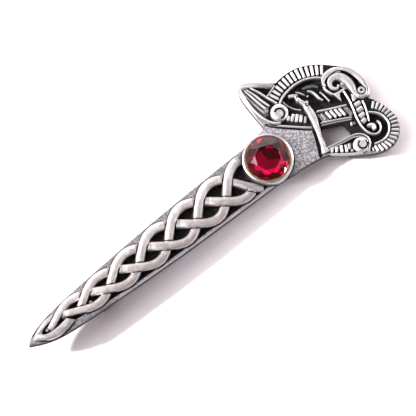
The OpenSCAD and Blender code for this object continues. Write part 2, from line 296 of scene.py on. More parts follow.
COIL_EDGE = smooth([
    (93.1, -2.8), (93.9, -4.4), (94.7, -6.4), (95.1, -8.8), (94.9, -10.6), (94.1, -12.2),
    (92.8, -13.5), (91.2, -14.2), (89.5, -14.4), (87.8, -14.1), (86, -13.3), (84, -12.1),
    (82, -10.8), (80, -9), (78.4, -7.6), (76.8, -6.9), (74, -6.4), (70, -6.0), (65, -5.5),
])


def half_width(x):
    """Half of the blade's width at a distance from its tip."""
    for (ax, ay), (bx, by) in zip(BLADE_EDGE, BLADE_EDGE[1:]):
        if ax <= x <= bx:
            return ay + (by - ay) * (x - ax) / (bx - ax)
    return BLADE_EDGE[-1][1]


# Making solids

# Sections: a place across the strand and a drop from its top, as shares of its width
SECTION_RIBBON = [
    (-0.5, 0.30), (-0.46, 0.14), (-0.36, 0.04), (-0.15, 0), (0.15, 0), (0.36, 0.04), (0.46, 0.14),
    (0.5, 0.30),
]
SECTION_CORD = [
    (-0.5, 0.5), (-0.43, 0.25), (-0.25, 0.07), (0, 0), (0.25, 0.07), (0.43, 0.25), (0.5, 0.5),
]
SECTION_BAR = [(-0.5, 0.38), (-0.42, 0.1), (-0.22, 0), (0.22, 0), (0.42, 0.1), (0.5, 0.38)]
SECTION_GROOVE = [(-0.5, 0.5), (-0.3, 0.12), (0, 0), (0.3, 0.12), (0.5, 0.5)]


def add_object(name, data, group=None):
    """An object of a mesh, a light or a camera, in a group or in the scene itself."""
    made = bpy.data.objects.new(name, data)
    (group or bpy.context.scene.collection).objects.link(made)
    return made


def mesh_of(name, bm, materials):
    """Turns a bmesh into a mesh with materials."""
    mesh = bpy.data.meshes.new(name)
    bm.to_mesh(mesh)
    bm.free()
    for material in materials:
        mesh.materials.append(material)
    return mesh


def finished(name, bm, slot, group):
    """Turns a bmesh into an object of a group, with all its faces in one material slot."""
    bmesh.ops.recalc_face_normals(bm, faces=bm.faces)
    for face in bm.faces:
        face.material_index = slot
        face.smooth = True
    return add_object(name, mesh_of(name, bm, CASTING_FINISH), group)


def prism(points, low, high, slot, group, name, soften=0):
    """A flat plate of an outline, whose upper edge may be softened."""
    bm = bmesh.new()
    face = bm.faces.new([bm.verts.new((*p, low)) for p in points])
    grown = bmesh.ops.extrude_face_region(bm, geom=[face])["geom"]
    bmesh.ops.translate(
        bm, vec=(0, 0, high - low), verts=[g for g in grown if isinstance(g, bmesh.types.BMVert)]
    )
    if soften:
        rim = [e for e in bm.edges if all(abs(v.co.z - high) < SAME for v in e.verts)]
        bmesh.ops.bevel(
            bm, geom=rim, offset=soften, segments=2, profile=0.5, affect="EDGES", material=-1
        )
    return finished(name, bm, slot, group)


def sunk(outline, level, name):
    """Cuts a field of an outline down to a level."""
    prism(outline, level, SKY, RECESS, CUT, name)


def raised_plate(outline, top, slot, name, soften):
    """Adds a flat plate of an outline with a softened edge."""
    prism(outline, FOOT, top, slot, ADDED, name, soften)


def lathe(profile, centre, slot, group, steps, name):
    """A solid turned from a profile of radius and height."""
    bm = bmesh.new()
    line = [bm.verts.new((centre[0] + r, centre[1], z)) for r, z in profile]
    edges = [bm.edges.new(pair) for pair in zip(line, line[1:])]
    if profile[0][0] > 0 and profile[-1][0] > 0:
        edges.append(bm.edges.new((line[-1], line[0])))
    bmesh.ops.spin(
        bm, geom=line + edges, cent=(centre[0], centre[1], 0), axis=(0, 0, 1),
        angle=2 * math.pi, steps=steps, use_merge=True,
    )
    bmesh.ops.remove_doubles(bm, verts=bm.verts, dist=WELD)
    finished(name, bm, slot, group)


def sweep_into(bm, path, section, foot, up=1):
    """Extrudes a section along a path of x, y, width and top; its sides reach to foot."""
    ring, edges = [], []
    for i, (x, y, width, top) in enumerate(path):
        before, after = path[max(i - 1, 0)], path[min(i + 1, len(path) - 1)]
        ahead = Vector((after[0] - before[0], after[1] - before[1])).normalized()
        spots = [(a * width, top - up * drop * width) for a, drop in section]
        spots = [(spots[0][0], foot)] + spots + [(spots[-1][0], foot)]
        places = [Vector((x - ahead.y * a, y + ahead.x * a, z)) for a, z in spots]
        if not ring:
            ring = [bm.verts.new(p) for p in places]
            edges = [bm.edges.new(pair) for pair in zip(ring, ring[1:] + ring[:1])]
            bm.faces.new(ring)
            continue
        grown = bmesh.ops.extrude_edge_only(bm, edges=edges)["geom"]
        fresh = {g for g in grown if isinstance(g, bmesh.types.BMVert)}
        ring = [
            next(v for e in old.link_edges if (v := e.other_vert(old)) in fresh) for old in ring
        ]
        edges = [bm.edges.get(pair) for pair in zip(ring, ring[1:] + ring[:1])]
        for vert, place in zip(ring, places):
            vert.co = place
    bm.faces.new(ring)


def rounded_ends(path, lead=END_LEAD):
    """Lowers and narrows a path's two ends."""
    def end(tip, inner):
        way = Vector(inner[:2]) - Vector(tip[:2])
        step = way.normalized() * min(lead, 0.4 * way.length)
        near = (tip[0] + step.x, tip[1] + step.y, tip[2], tip[3])
        return [(tip[0], tip[1], tip[2] * END_SHARE, tip[3] - END_DROP), near]
    return end(path[0], path[1]) + path[1:-1] + end(path[-1], path[-2])[::-1]


def strand(points, top, name, section=SECTION_CORD):
    """A smooth strand through points of x, y and width, at one height."""
    path = [(*p, top) for p in smooth(points)]
    bm = bmesh.new()
    sweep_into(bm, rounded_ends(path), section, FOOT)
    finished(name, bm, RAISED, ADDED)


def even_strand(points, width, top, name):
    """A strand of one width through points of x and y."""
    strand([(*p, width) for p in points], top, name)


def add_bar(bm, start, end, widths, top):
    """A flat-topped bar between two points, as wide at its ends as widths say."""
    path = []
    for t in (0, 0.3, 0.6, 1):
        path.append((*start.lerp(end, t), widths[0] + (widths[1] - widths[0]) * t, top))
    sweep_into(bm, rounded_ends(path, BAR_END_LEAD), SECTION_BAR, FOOT)


def ladder(outer, inner, count, top, fill, name):
    """Bars across a band, evenly spaced between its two side curves, which they fill by a share."""
    bm = bmesh.new()
    outer, inner = smooth(outer), smooth(inner)
    for i in range(count):
        share, lead, trail = (i + 0.5) / count, i / count, (i + 1) / count
        widths = [
            fill * math.dist(at_share(side, lead), at_share(side, trail)) for side in (outer, inner)
        ]
        add_bar(bm, at_share(outer, share), at_share(inner, share), widths, top)
    finished(name, bm, RAISED, ADDED)


def bars(ends, width, top, name):
    """Separate bars, each from one point to another."""
    bm = bmesh.new()
    for ax, ay, bx, by in ends:
        add_bar(bm, Vector((ax, ay)), Vector((bx, by)), (width, width), top)
    finished(name, bm, RAISED, ADDED)


def boss(centre, radius, top, crown, name):
    """A round boss with a domed top."""
    profile = [(0, FOOT), (radius, FOOT), (radius, top - crown)]
    for degrees in range(15, 90, 15):
        turn = math.radians(degrees)
        shrunk = radius * (1 - DOME_LEAN * (1 - math.cos(turn)))
        profile.append((shrunk, top - crown * (1 - math.sin(turn))))
    profile += [(radius * DOME_FLAT, top), (0, top)]
    lathe(profile, centre, RAISED, ADDED, BOSS_STEPS, name)


def groove(path, width, bottom, name, group=None):
    """A round-bottomed groove cut along a path of x and y."""
    bm = bmesh.new()
    sweep_into(bm, [(*p, width, bottom) for p in path], SECTION_GROOVE, SKY, up=-1)
    finished(name, bm, RECESS, group or CARVED)


# Materials

def fill_in(tree, target, value):
    """Links a socket to an input, or sets the input's own value."""
    if isinstance(value, bpy.types.NodeSocket):
        tree.links.new(value, target)
    else:
        target.default_value = (*value, 1) if target.type == "RGBA" else value


def node(tree, kind, at, inputs=None, **properties):
    """Adds a node, sets its properties and fills in its inputs."""
    made = tree.nodes.new(kind)
    made.location = at
    for key, value in properties.items():
        setattr(made, key, value)
    for key, value in (inputs or {}).items():
        fill_in(tree, made.inputs[key], value)
    return made


def maths(tree, operation, at, *values):
    """The result of one operation on numbers or sockets."""
    made = node(tree, "ShaderNodeMath", at, operation=operation)
    for target, value in zip(made.inputs, values):
        fill_in(tree, target, value)
    return made.outputs[0]


def ranged(tree, value, low, high, to_low, to_high, at, **properties):
    """A value turned from one range to another."""
    limits = {"From Min": low, "From Max": high, "To Min": to_low, "To Max": to_high}
    made = node(tree, "ShaderNodeMapRange", at, {"Value": value, **limits}, **properties)
    return made.outputs["Result"]


def blend(tree, factor, low, high, at):
    """A colour mixed between two, which may be sockets or colours."""
    made = node(tree, "ShaderNodeMix", at, {"Factor": factor}, data_type="RGBA")
    for target, value in zip([s for s in made.inputs if s.type == "RGBA"], (low, high)):
        fill_in(tree, target, value)
    return next(s for s in made.outputs if s.type == "RGBA")


def along_axis(tree, place, axis, low, high, to_low, to_high, at):
    """A value that changes evenly along one axis of the pin, in millimetres."""
    parts = node(tree, "ShaderNodeSeparateXYZ", (at[0] - 200, at[1]), {"Vector": place})
    return ranged(tree, parts.outputs[axis], low, high, to_low, to_high, at)


def bump(tree, height, distance, strength):
    """The normal of a surface roughened by a height, to a distance in millimetres."""
    inputs = {"Height": height, "Distance": distance * MM, "Strength": strength}
    return node(tree, "ShaderNodeBump", (-300, -300), inputs).outputs["Normal"]


def new_group(name, inputs, outputs):
    """A node group that takes Place and some numbers, with its input and output sockets."""
    tree = bpy.data.node_groups.new(name, "ShaderNodeTree")
    add = tree.interface.new_socket
    add(name="Place", in_out="INPUT", socket_type="NodeSocketVector")
    for key, value in inputs.items():
        add(name=key, in_out="INPUT", socket_type="NodeSocketFloat").default_value = value
    for key in outputs:
        add(name=key, in_out="OUTPUT", socket_type="NodeSocketFloat")
    given = node(tree, "NodeGroupInput", (-800, 0)).outputs
    result = node(tree, "NodeGroupOutput", (600, 0)).inputs
    return tree, given, result


def make_cast_grain():
    """Node group: the pits and slow waves of a cast surface, as a height and a speck mask."""
    tree, given, result = new_group("cast_grain", {"Grain": 0.3}, ("Height", "Specks"))
    scale = maths(tree, "DIVIDE", (-600, -200), 1.0, given["Grain"])
    start = {"Vector": given["Place"], "Scale": scale}
    slow = {**start, "Detail": 3.0, "Roughness": 0.6}
    waves = node(tree, "ShaderNodeTexNoise", (-400, 100), slow).outputs["Fac"]
    round_pits = {**start, "Smoothness": 0.6}
    pits = node(tree, "ShaderNodeTexVoronoi", (-400, -200), feature="SMOOTH_F1", inputs=round_pits)
    height = maths(tree, "MULTIPLY_ADD", (-100, 0), pits.outputs["Distance"], 0.6, waves)
    fill_in(tree, result["Height"], height)
    fill_in(tree, result["Specks"], ranged(tree, waves, 0.42, 0.62, 0.0, 1.0, (-100, -250)))
    return tree


def make_patina():
    """Node group: how much black patina is left, from the height above the back."""
    tree, given, result = new_group("patina", {"Black below": 1.5, "Clean above": 2.1}, ("Left",))
    place = {"Vector": given["Place"]}
    height = node(tree, "ShaderNodeSeparateXYZ", (-600, 100), place).outputs["Z"]
    blotch = node(tree, "ShaderNodeTexNoise", (-600, -150), {**place, "Scale": 1.6, "Detail": 3.0})
    shift = maths(tree, "MULTIPLY_ADD", (-400, 0), blotch.outputs["Fac"], BLOTCH, height)
    settled = maths(tree, "SUBTRACT", (-250, 0), shift, BLOTCH / 2)
    left = ranged(
        tree, settled, given["Black below"], given["Clean above"], 1.0, 0.0, (0, 0),
        interpolation_type="SMOOTHSTEP",
    )
    fill_in(tree, result["Left"], left)
    return tree


CAST_GRAIN = make_cast_grain()
PATINA = make_patina()


def placed_group(tree, group, place, at, **values):
    """The outputs of a node group in a material, with its own values."""
    inputs = {key.replace("_", " "): value for key, value in values.items()}
    inputs["Place"] = place
    return node(tree, "ShaderNodeGroup", at, inputs, node_tree=group).outputs


def feed(tree, shader, **values):
    """Links sockets to a shader's inputs, or sets their own values."""
    for key, value in values.items():
        fill_in(tree, shader.inputs[key.replace("_", " ")], value)


def new_material(name):
    """A material, its tree and its shader."""
    made = bpy.data.materials.new(name)
    made.use_nodes = True
    return made, made.node_tree, made.node_tree.nodes["Principled BSDF"]


def pin_material(name):
    """A material, its tree, its shader and a place on the pin.

    The place is the object's coordinates turned back to millimetres on the casting's back plane.
    """
    made, tree, shader = new_material(name)
    source = node(tree, "ShaderNodeTexCoord", (-1400, 0))
    back = Matrix.Rotation(-PITCH, 3, "Y")
    turned = node(tree, "ShaderNodeMapping", (-1200, 0), {
        "Vector": source.outputs["Object"],
        "Location": -(back @ TIP_PLACE),
        "Rotation": (0, -PITCH, 0),
        "Scale": (1 / MM,) * 3,
    })
    return made, tree, shader, turned.outputs["Vector"]


def raised_pewter(name, dull, bright, lower_side_shade, black_below, clean_above):
    """Polished strands, whose feet keep black patina and whose lower side gets painted shade."""
    made, tree, shader, place = pin_material(name)
    grain = placed_group(tree, CAST_GRAIN, place, (-900, 200), Grain=0.3)
    waves = placed_group(tree, CAST_GRAIN, place, (-900, -300), Grain=1.1)
    patina = placed_group(
        tree, PATINA, place, (-900, -100), Black_below=black_below, Clean_above=clean_above
    )
    warm = blend(tree, waves["Height"], dull, bright, (-600, 400))
    worn = blend(tree, grain["Specks"], dull, warm, (-450, 400))
    # Painted shade: the strands darken towards the blade's lower side (-Y), by the given share,
    # into the dark colour below.
    painted_lower_shade = along_axis(tree, place, "Y", -3.0, 2.5, lower_side_shade, 0.0, (-600, 600))
    shaded = blend(tree, painted_lower_shade, worn, (0.20, 0.17, 0.165), (-350, 500))
    height = maths(tree, "MULTIPLY_ADD", (-450, -350), waves["Height"], 2.5, grain["Height"])
    feed(
        tree, shader,
        Base_Color=blend(tree, patina["Left"], shaded, (0.012, 0.012, 0.014), (-200, 300)),
        Roughness=ranged(tree, waves["Height"], 0.4, 0.9, 0.5, 0.34, (-600, 0)),
        Metallic=ranged(tree, patina["Left"], 0.0, 1.0, 1.0, 0.2, (-600, -200)),
        Normal=bump(tree, height, 0.03, 0.4),
    )
    return made


def ground_pewter():
    """Pebbled grey neck and border with dark specks; patina and painted shade on the side walls."""
    made, tree, shader, place = pin_material("pewter_ground")
    grain = placed_group(tree, CAST_GRAIN, place, (-900, 200), Grain=0.5)
    coarse = placed_group(tree, CAST_GRAIN, place, (-900, -100), Grain=2.6)
    wall_patina_and_shade = placed_group(tree, PATINA, place, (-900, -350), Black_below=1.45, Clean_above=1.98)
    pale = blend(tree, coarse["Height"], SPECK_GREY, (0.56, 0.545, 0.565), (-600, 400))
    speckled = blend(tree, grain["Specks"], SPECK_GREY, pale, (-450, 300))
    blade = along_axis(tree, place, "X", 58, 66, 0.52, 0.0, (-600, 650))
    top = blend(tree, blade, speckled, (0.16, 0.155, 0.165), (-350, 550))
    # Painted shade and patina: the side walls get a near-black colour, for patina and for the shade
    # on walls turned away from the light.
    side = blend(tree, coarse["Height"], (0.03, 0.027, 0.03), (0.075, 0.068, 0.073), (-600, 100))
    feed(
        tree, shader,
        Base_Color=blend(tree, wall_patina_and_shade["Left"], top, side, (-300, 300)),
        Metallic=ranged(tree, wall_patina_and_shade["Left"], 0.0, 1.0, 0.8, 0.0, (-600, -500)),
        Roughness=ranged(tree, wall_patina_and_shade["Left"], 0.0, 1.0, 0.48, 0.9, (-600, -100)),
        Normal=bump(tree, grain["Height"], 0.07, 0.6),
        Specular_IOR_Level=0.2,
    )
    return made


def black_recess():
    """Black patina settled in the sunk parts."""
    made, tree, shader, place = pin_material("pewter_recess")
    grain = placed_group(tree, CAST_GRAIN, place, (-900, 0), Grain=0.35)
    black, grey = (0.004, 0.004, 0.005), (0.022, 0.020, 0.022)
    feed(
        tree, shader,
        Base_Color=blend(tree, grain["Specks"], black, grey, (-500, 200)),
        Normal=bump(tree, grain["Height"], 0.08, 0.7),
        Roughness=0.7,
        Specular_IOR_Level=0.1,
    )
    return made


def red_glass():
    """Clear red glass."""
    made, tree, shader = new_material("red_glass")
    feed(
        tree, shader,
        Base_Color=(0.70, 0.003, 0.075), Roughness=0.01, IOR=1.6, Transmission_Weight=1.0,
    )
    return made


def foil_back():
    """The mirror foil behind the glass."""
    made, tree, shader, place = pin_material("foil_back")
    ripple = node(tree, "ShaderNodeTexNoise", (-900, 0), {"Vector": place, "Scale": 0.8})
    deep, pale = (0.84, 0.22, 0.50), (0.98, 0.45, 0.80)
    feed(
        tree, shader,
        Base_Color=blend(tree, ripple.outputs["Fac"], deep, pale, (-500, 200)),
        Metallic=1.0,
        Roughness=0.08,
    )
    return made


def foil_edge():
    """The gold-brown edge of the foil round the girdle."""
    made, tree, shader, place = pin_material("foil_edge")
    grain = placed_group(tree, CAST_GRAIN, place, (-900, 0), Grain=0.3)
    brown, gold = (0.20, 0.12, 0.03), (0.55, 0.40, 0.14)
    feed(
        tree, shader,
        Base_Color=blend(tree, grain["Specks"], brown, gold, (-500, 200)),
        Metallic=0.8,
        Roughness=0.35,
    )
    return made


def plated_steel():
    """Bright plating over drawn steel, whose fine streaks run along the pin."""
    made, tree, shader, place = pin_material("plated_steel")
    streak = node(tree, "ShaderNodeMapping", (-1000, -200), {"Vector": place, "Scale": (0.4, 6, 6)})
    drawn = node(
        tree, "ShaderNodeTexNoise", (-800, -200),
        {"Vector": streak.outputs["Vector"], "Scale": 1.5, "Detail": 4.0},
    ).outputs["Fac"]
    feed(
        tree, shader,
        Base_Color=blend(tree, drawn, (0.20, 0.19, 0.20), (0.36, 0.35, 0.36), (-500, 200)),
        Roughness=ranged(tree, drawn, 0.3, 0.7, 0.2, 0.34, (-500, 0)),
        Normal=bump(tree, drawn, 0.01, 0.3),
        Metallic=1.0,
    )
    return made


# The number after each raised pewter's two colours is how much painted shade its lower side takes.
# The fifth slot is a darker copy of the raised pewter: painted shade on the plait's ends beside the
# crossings, and a dimmer tone on the rims, the wing's bands and the forked tip.
CASTING_FINISH = [
    ground_pewter(), black_recess(),
    raised_pewter("pewter_raised", (0.66, 0.64, 0.65), (0.92, 0.90, 0.91), 0.0, 1.2, 3.0),
    raised_pewter("pewter_plait", (0.76, 0.71, 0.69), (1.0, 0.96, 0.94), 0.5, 1.9, 2.75),
    raised_pewter("pewter_dimmed", (0.43, 0.41, 0.42), (0.62, 0.595, 0.605), 0.0, 1.1, 2.1),
]


# The casting, made as a plate that takes cuts, added strands and then fine carving

def group_of(name):
    """A collection for the solids of one boolean step."""
    made = bpy.data.collections.new(name)
    bpy.context.scene.collection.children.link(made)
    return made


CUT = group_of("cut")
ADDED = group_of("added")
CARVED = group_of("carved")


def make_plate():
    """The flat plate of the casting's outline."""
    lower = []
    for x, y in BLADE_EDGE:
        lower.append((x, TIP_LIFT * min(1, x) * math.exp(-(x / TIP_LIFT_REACH) ** 2) - y))
    outline = (
        BLADE_EDGE + NECK_TOP + WING_LEFT[1:] + WING_RIGHT[1:] + CREST[1:] + COIL_EDGE[1:]
        + lower[:0:-1] + [(0, -BLADE_EDGE[0][1])]
    )
    scene = bpy.context.scene.collection
    return prism(outline, 0, PLATE, GROUND, scene, "pewter_casting", PLATE_EDGE)


def cut_blade():
    """Sinks the plait's field and draws thin lines along the bends and at the tip."""
    upper, lower = [], []
    for x in [FIELD_START + FIELD_STEP * i for i in range(FIELD_STEPS)] + [PLAIT_END]:
        wide = half_width(x)
        near_tip = (1 - math.tanh(0.3 * (x - TIP_BORDER_END))) / 2
        upper.append((x, wide - min(UPPER_BORDER, UPPER_BORDER_SHARE * wide)))
        lower.append((x, LOWER_BORDER - wide + TIP_BORDER * near_tip))
    sunk([(2.9, 0)] + upper + lower[::-1], DEEP, "plait_field")
    groove([
        (2.4, -0.85), (4.0, -1.88), (5.3, -2.42), (6.8, -2.66), (8.8, -2.6), (10.2, -2.34),
        (11.1, -2.0),
    ], 0.34, 1.2, "tip_line", CUT)
    line = [(x, half_width(x) - 0.24) for x in (1.6, 2.4, 3.4, 5, 6.5, 8)]
    groove(line, 0.22, 1.5, "tip_line_upper", CUT)
    for n in range(BENDS):
        for side in (0, 180):
            outline_bend(LAST_BEND - n * BEND_STEP, side)


def cut_head():
    """Sinks the fields of the head and pierces its window."""
    sunk(closed([
        (79.2, 0.1), (77.2, 1.0), (75.4, 2.6), (73.9, 4.1), (72.6, 5.4), (71.9, 7), (71.6, 9),
        (71.5, 11), (71.6, 13), (71.9, 15.2), (72.35, 16.1), (73.4, 15.7), (74.3, 15.2),
        (76.1, 13.6), (77.6, 12.35), (79.3, 12.9), (81, 13.3), (83, 13.3), (85, 12.9), (87.2, 12),
        (89.3, 10.6), (91.1, 9), (92.2, 6.8), (93.4, 5), (93.9, 3), (93.9, 1), (93.5, -1),
        (92.9, -2.4), (93.2, -3.2), (94.2, -4.7), (95.1, -6.6), (95.4, -9), (95.1, -10.9),
        (94.2, -12.4), (92.9, -13.7), (91.2, -14.4), (89.4, -14.6), (87.9, -14.1), (86.2, -12.9),
        (84.2, -11.7), (82.2, -10.4), (80.2, -8.7), (78.6, -7.3), (77.2, -6.6), (75.9, -6.9),
        (76.9, -4.8), (77.9, -2.6), (78.9, -0.6), (79.2, 0.1),
    ], 2), SHALLOW, "head_ground")
    sunk(closed([
        (77.8, 8.3), (80, 9.1), (83, 9.2), (85, 8.5), (86.7, 7.1), (86.4, 5), (86.7, 3),
        (87.5, 1.6), (87.9, -0.4), (85, 0.8), (82.3, 2.0), (80.4, 3.9), (79, 5.2), (78.1, 6.6),
        (77.8, 8.3),
    ], 3), DEEP, "oval_field")
    sunk(closed([
        (90.4, -5.6), (91.7, -6.8), (92.4, -8.4), (92.3, -10), (91.5, -11.2), (90, -11.9),
        (88.3, -11.8), (87.2, -11.2), (87.2, -9), (87.7, -7), (89.2, -5.9), (90.4, -5.6),
    ], 3), DEEP, "coil_field")
    sunk([(74.25, 15.15), (77.4, 12.35), (76.0, 11.5), (75.1, 12.6)], DEEP, "wing_gap")
    sunk([
        (80.75, -1.7), (84.9, -3.75), (85.0, -6.0), (84.6, -7.0), (82.5, -6.55), (79.0, -5.75),
        (79.1, -4.0), (79.9, -2.7),
    ], -1, "window")


def plait_level(phase):
    """A ribbon's top, which sinks just before it passes under another one."""
    turn = (phase - CROSS_PHASE) % 180
    left = min(turn, 180 - turn) - PASS_GAP
    return RIBBON_TOP - DIP * max(0, 1 - left / DIP_PHASE)


def ribbon_width(x):
    """The ribbons grow narrower towards the tip."""
    return RIBBON_W - RIBBON_TAPER * math.exp((6 - x) / 12)


def plait_place(top, phase, beside=0.0):
    """Where a ribbon runs at a phase in degrees from its upper bend, or beside it at a distance."""
    turn = math.radians(phase)
    x = top + BEND_STEP * phase / STEP_PHASE + DRIFT * (1 + math.sin(turn)) - LEAN * math.cos(turn)
    middle = MIDDLE_Y + MIDDLE_LIFT * math.exp((8 - x) / 10)
    reach = half_width(x) - BORDER - ribbon_width(x) / 2
    return x, middle + reach * math.cos(turn) + math.copysign(beside, math.cos(turn))


def outline_bend(top, middle):
    """A thin sunk line along the outside of one bend."""
    line = []
    for k in range(-4, 5):
        phase = middle + 11 * k
        x = plait_place(top, phase)[0]
        x, y = plait_place(top, phase, ribbon_width(x) / 2 + 0.02)
        if 8 < x < PLAIT_END - 1:
            line.append((x + 0.35 * math.sin(math.radians(2 * (phase - middle))), y))
    if len(line) > 3:
        groove(line, BEND_LINE_W, BEND_LINE_Z, "bend_line", CUT)


def line_crossing(top, middle):
    """Two dark lines where a ribbon passes over another, one along each of its sides."""
    path = [plait_place(top, middle + 6 * k) for k in range(-4, 5)]
    for side in (-1, 1):
        line = []
        for before, at, after in zip(path, path[1:], path[2:]):
            ahead = (Vector(after) - Vector(before)).normalized()
            aside = side * (ribbon_width(at[0]) / 2 + 0.04)
            line.append((at[0] - ahead.y * aside, at[1] + ahead.x * aside))
        if line[0][0] > 7 and line[-1][0] < PLAIT_END - 3:
            groove(line, CROSS_LINE_W, CROSS_LINE_Z, "crossing_line")


def plait_piece(bm, top, start, stop, inset=0.0, steps=24):
    """A run of a ribbon between two phases from its upper bend, lower and narrower by an inset."""
    path = []
    for i in range(steps + 1):
        phase = start + (stop - start) * i / steps
        x, y = plait_place(top, phase)
        path.append((x, y, ribbon_width(x) - inset, plait_level(phase) - inset))
    sweep_into(bm, path, SECTION_RIBBON, FOOT)


def plait_run(clear, dull, top, start, stop):
    """One visible run of a ribbon, whose ends beside the crossing ribbons take painted shade."""
    plait_piece(clear, top, start + END_PHASES, stop - END_PHASES)
    reach = END_PHASES + END_OVERLAP
    for first, last in ((start, start + reach), (stop - reach, stop)):
        plait_piece(dull, top, first, last, END_INSET, 6)


def dipped(path):
    """A ribbon's run, whose two ends sink under the ribbons that cross it."""
    def end(tip, inner):
        way = (Vector(inner[:2]) - Vector(tip[:2])).normalized() * 0.16
        near = (tip[0] + way.x, tip[1] + way.y, tip[2], tip[3] - DIP)
        return [(tip[0], tip[1], tip[2] * 0.92, UNDER_TOP), near]
    return end(path[0], path[1]) + path[1:-1] + end(path[-1], path[-2])[::-1]


def make_plait():
    """The three ribbons, the blade's lower edge rim and the forked tip."""
    clear, dull = bmesh.new(), bmesh.new()
    for n in range(BENDS):
        top = LAST_BEND - n * BEND_STEP
        if n < BENDS - 1:
            stop = min(CROSS_PHASE - PASS_GAP, END_PHASE + STEP_PHASE * n)
            plait_run(clear, dull, top, PASS_GAP - STEP_PHASE, stop)
        if n > 1:
            stop = LAST_TURN_END if n == 2 else CROSS_PHASE + 180 - PASS_GAP
            plait_run(clear, dull, top, CROSS_PHASE + PASS_GAP, stop)
        for middle in (-CROSS_PHASE, STEP_PHASE):
            line_crossing(top, middle)
    sweep_into(dull, dipped(smooth(LAST_FALL)), SECTION_RIBBON, FOOT)
    groove([(58.35, -2.0), (59.1, -3.1), (59.9, -4.0), (60.8, -4.85)], 0.26, 1.6, "last_fall_line")
    edge_rim = bmesh.new()
    edge = [(x, EDGE_RIM_IN - half_width(x), EDGE_RIM_W, EDGE_RIM_TOP) for x in EDGE_RIM_XS]
    sweep_into(edge_rim, edge, SECTION_RIBBON, FOOT)
    finished("edge_rim", edge_rim, DIMMED, ADDED)
    finished("plait", clear, PLAIT, ADDED)
    # The ribbons' ends beside the crossings, and the last falling run, take the darker copy of the
    # raised pewter; on the ends this is painted shade where they pass under the crossing ribbons.
    finished("plait_shaded_ends", dull, DIMMED, ADDED)
    raised_plate(smooth(FORK_OUTSIDE, 3) + smooth(FORK_INSIDE, 3), 2.5, DIMMED, "tip_fork", 0.08)
    for place in FLOOR_LUMPS:
        boss(place, 0.42, 1.95, 0.3, "floor_lump")


def make_setting():
    """The rim that holds the stone and the groove round it."""
    profile = [(RIM_R, FOOT)]
    profile += [(RIM_R - across, RIM_TOP - down) for across, down in RIM_ROUND]
    profile += [(SEAT_R, RIM_TOP - RIM_LIP), (SEAT_R, FOOT)]
    lathe(profile, STONE_AT, DIMMED, ADDED, ROUND_STEPS, "setting_rim")
    outer, inner = RIM_R + RIM_GAP, RIM_R - RIM_GROOVE
    level = SHALLOW - RIM_GROOVE
    profile = [(outer, level), (outer, SKY), (inner, SKY), (inner, level)]
    lathe(profile, STONE_AT, RECESS, CUT, ROUND_STEPS, "setting_groove")


def cut_seat():
    """The stone's seat, which clears the CAD stone all round."""
    corner = math.cos(math.pi / SEAT_SIDES)
    girdle_foot = GIRDLE_TOP - GIRDLE_T
    back_z = girdle_foot - STONE_R * (1 - corner) * SEAT_SLOPE
    floor_r = (STONE_R - (girdle_foot - SEAT_T) / SEAT_SLOPE) / corner
    lathe([
        (0, SEAT_T - STONE_CLEAR), (floor_r + 2 * STONE_CLEAR, SEAT_T - STONE_CLEAR),
        (SEAT_R, back_z - STONE_CLEAR), (SEAT_R, SKY), (0, SKY),
    ], STONE_AT, RECESS, CARVED, ROUND_STEPS, "seat")


def make_wing():
    """The wing: its edges, its ribs and the spiral at its root."""
    left_band = smooth([
        (70.76, 6.6), (70.76, 9), (70.81, 13), (71.2, 15.4), (71.79, 16.8), (72.3, 17.35),
    ], 3)
    left_edge = smooth([
        (72.4, 16.3), (72.0, 15.4), (71.7, 13), (71.6, 11), (71.7, 9), (72.1, 7.3), (72.7, 6.1),
        (71.8, 6.3),
    ], 3)
    raised_plate(left_band + left_edge, 2.2, DIMMED, "wing_left_band", 0.02)
    upper_band = smooth([
        (71.7, 16.6), (72.3, 17.3), (73.7, 16.8), (75.5, 15.65), (77.4, 14.05), (79.0, 12.8),
    ], 3)
    upper_edge = smooth([(77.6, 12.4), (76.1, 13.6), (74.3, 15.1), (73.3, 15.55), (72.2, 15.8)], 3)
    raised_plate(upper_band + upper_edge, 2.3, DIMMED, "wing_upper_band", 0.14)
    strand([
        (72.0, 16.3, 0.26), (71.7, 14.6, 0.3), (71.52, 12.8, 0.34), (71.47, 11, 0.36),
        (71.6, 9.4, 0.38), (71.95, 7.8, 0.42), (72.5, 6.5, 0.48), (73.3, 5.4, 0.55),
        (74.3, 4.75, 0.55),
    ], 2.7, "wing_rim")
    raised_plate([
        (71.7, 15.2), (72.4, 16.0), (73.2, 15.4), (73.6, 12), (74.0, 9.4), (73.4, 8.0), (72.3, 7.8),
        (71.7, 9.6),
    ], 1.65, GROUND, "wing_grey", 0.1)
    ribs = [
        (2.05, [(72.15, 15.7, 0.26), (72.15, 14, 0.4), (72.3, 12.3, 0.46), (72.6, 10.4, 0.5),
                (73.0, 8.7, 0.4)]),
        (2.35, [(72.6, 15.7, 0.26), (72.95, 13.7, 0.46), (73.3, 11.6, 0.52), (73.75, 9.3, 0.46)]),
        (2.4, [(73.05, 15.5, 0.3), (73.75, 13.4, 0.5), (74.2, 11.3, 0.55), (74.75, 9.3, 0.5)]),
        (2.6, [(73.9, 15.3, 0.34), (74.75, 13.4, 0.42), (75.4, 11.5, 0.46), (76.0, 9.9, 0.46),
               (76.4, 8.7, 0.4)]),
    ]
    for i, (top, rib) in enumerate(ribs):
        strand(rib, top, f"wing_rib_{i + 1}")
    bars([(73.3, 8.6, 74.2, 9.7)], 0.9, 1.9, "wing_dip")
    boss(SPIRAL_AT, 2.0, 2.95, 0.45, "wing_spiral")
    curl = arc((SPIRAL_AT[0] - 0.17, SPIRAL_AT[1] - 0.17), 1.0, 1.2, 128, -112)
    groove(curl, 0.42, 1.7, "wing_spiral_groove")


